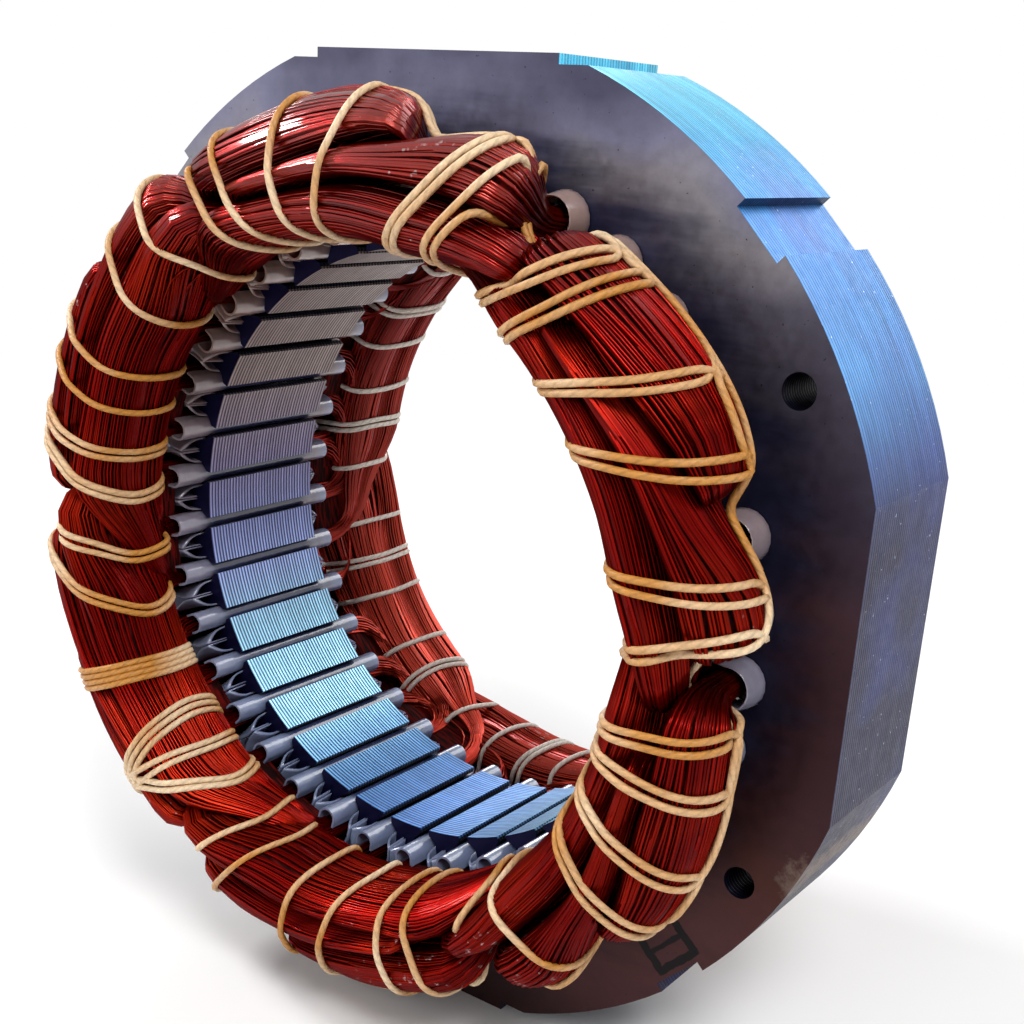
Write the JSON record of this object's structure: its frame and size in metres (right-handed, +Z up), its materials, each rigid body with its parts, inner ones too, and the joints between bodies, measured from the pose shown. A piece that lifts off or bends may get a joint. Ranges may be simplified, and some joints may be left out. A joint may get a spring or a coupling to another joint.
{
  "type": "electric motor stator",
  "caption": "Wound stator core of an induction motor: slotted laminated ring with flats, film slot insulation, concentric coils and laced end turns.",
  "frame": {"origin": "centre of the object's box, at floor level, under the bottom flat of the core", "axes": "+Z up, +Y along the rotor's axis from the short end turns at the front towards the long end turns at the back"},
  "size_m": [0.158, 0.0901, 0.158],
  "materials": {
    "lamination_edges": "fine stripes of blued lamination edges",
    "lamination_face": "dark oxide skin, dull",
    "slot_film": "cloudy translucent film",
    "enamelled_wire": "glossy red-brown enamel",
    "lacing_cord": "varnished twisted cord"
  },
  "bodies": {
    "root": {"core_pack": "lamination_edges", "front_end_lamination": "lamination_face", "back_end_lamination": "lamination_face", "slot_liners_a": "slot_film", "slot_liners_b": "slot_film", "slot_liners_c": "slot_film", "slot_liners_d": "slot_film", "slot_closures_a": "slot_film", "slot_closures_b": "slot_film", "slot_closures_c": "slot_film", "slot_closures_d": "slot_film", "bottom_coil_sides": "enamelled_wire", "top_coil_sides": "enamelled_wire", "front_main_coils_1": "enamelled_wire", "front_main_coils_2": "enamelled_wire", "front_main_coils_3": "enamelled_wire", "front_main_coils_4": "enamelled_wire", "front_main_coils_5": "enamelled_wire", "front_main_coils_6": "enamelled_wire", "front_start_coils_1": "enamelled_wire", "front_start_coils_2": "enamelled_wire", "front_start_coils_3": "enamelled_wire", "front_start_coils_4": "enamelled_wire", "front_start_coils_5": "enamelled_wire", "front_start_coils_6": "enamelled_wire", "back_main_coils_1": "enamelled_wire", "back_main_coils_2": "enamelled_wire", "back_main_coils_3": "enamelled_wire", "back_main_coils_4": "enamelled_wire", "back_main_coils_5": "enamelled_wire", "back_main_coils_6": "enamelled_wire", "back_start_coils_1": "enamelled_wire", "back_start_coils_2": "enamelled_wire", "back_start_coils_3": "enamelled_wire", "back_start_coils_4": "enamelled_wire", "back_start_coils_5": "enamelled_wire", "back_start_coils_6": "enamelled_wire", "front_lacing": "lacing_cord", "back_lacing": "lacing_cord"}
  },
  "joints": []
}
